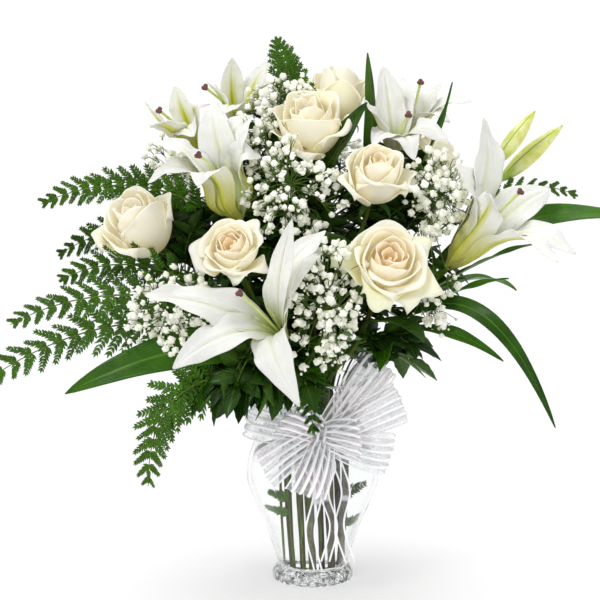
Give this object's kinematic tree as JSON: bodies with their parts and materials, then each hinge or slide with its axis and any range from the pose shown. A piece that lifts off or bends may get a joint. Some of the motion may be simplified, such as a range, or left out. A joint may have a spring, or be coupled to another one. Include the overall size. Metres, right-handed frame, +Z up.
{
  "type": "lilies in a vase",
  "caption": "Mixed bouquet of white lilies, cream roses, fern and baby's breath standing in a clear glass vase with a striped ribbon bow.",
  "frame": {"origin": "centre of the vase's flat underside", "axes": "+Z up out of the vase's mouth, -Y towards the front of the bouquet where the bow is tied, +X to the right seen from the front"},
  "size_m": [0.6561, 0.3766, 0.546],
  "materials": {
    "glass": "clear pressed glass",
    "water": "clear still water",
    "ribbon": "sheer with narrow satin stripes",
    "lily_white": "satin white petal, green at the midrib",
    "pistil_green": "satin green with a brown stigma",
    "bud_green": "satin yellow-green",
    "rose_cream": "velvet cream petal, peach at the heart",
    "stem_green": "satin green stems and leaves",
    "fern_green": "leathery green",
    "spray_white": "matte white florets on green twigs"
  },
  "bodies": {
    "root": {"vase": "glass", "water": "water", "lily_stem_1": "stem_green", "lily_stem_2": "stem_green", "lily_stem_3": "stem_green", "lily_stem_4": "stem_green", "lily_bloom_1": "lily_white", "lily_bloom_2": "lily_white", "lily_bloom_3": "lily_white", "lily_bloom_4": "lily_white", "lily_bloom_5": "lily_white", "lily_bloom_6": "lily_white", "lily_bloom_7": "lily_white", "lily_pistil_1": "pistil_green", "lily_pistil_2": "pistil_green", "lily_pistil_3": "pistil_green", "lily_pistil_4": "pistil_green", "lily_pistil_5": "pistil_green", "lily_pistil_6": "pistil_green", "lily_pistil_7": "pistil_green", "lily_bud_1": "bud_green", "lily_bud_2": "bud_green", "rose_stem_1": "stem_green", "rose_stem_2": "stem_green", "rose_stem_3": "stem_green", "rose_stem_4": "stem_green", "rose_stem_5": "stem_green", "rose_stem_6": "stem_green", "rose_stem_7": "stem_green", "rose_bloom_1": "rose_cream", "rose_bloom_2": "rose_cream", "rose_bloom_3": "rose_cream", "rose_bloom_4": "rose_cream", "rose_bloom_5": "rose_cream", "rose_bloom_6": "rose_cream", "rose_bloom_7": "rose_cream", "ribbon_band": "ribbon", "ribbon_bow": "ribbon", "ribbon_tail_1": "ribbon", "ribbon_tail_2": "ribbon", "ribbon_tail_3": "ribbon", "fern_frond_1": "fern_green", "fern_frond_2": "fern_green", "fern_frond_3": "fern_green", "fern_frond_4": "fern_green", "fern_frond_5": "fern_green", "fern_frond_6": "fern_green", "fern_frond_7": "fern_green", "fern_frond_8": "fern_green", "fern_frond_9": "fern_green", "fern_frond_10": "fern_green", "fern_frond_11": "fern_green", "babys_breath_1": "spray_white", "babys_breath_2": "spray_white", "babys_breath_3": "spray_white", "babys_breath_4": "spray_white", "babys_breath_5": "spray_white", "babys_breath_6": "spray_white", "babys_breath_7": "spray_white"}
  },
  "joints": []
}
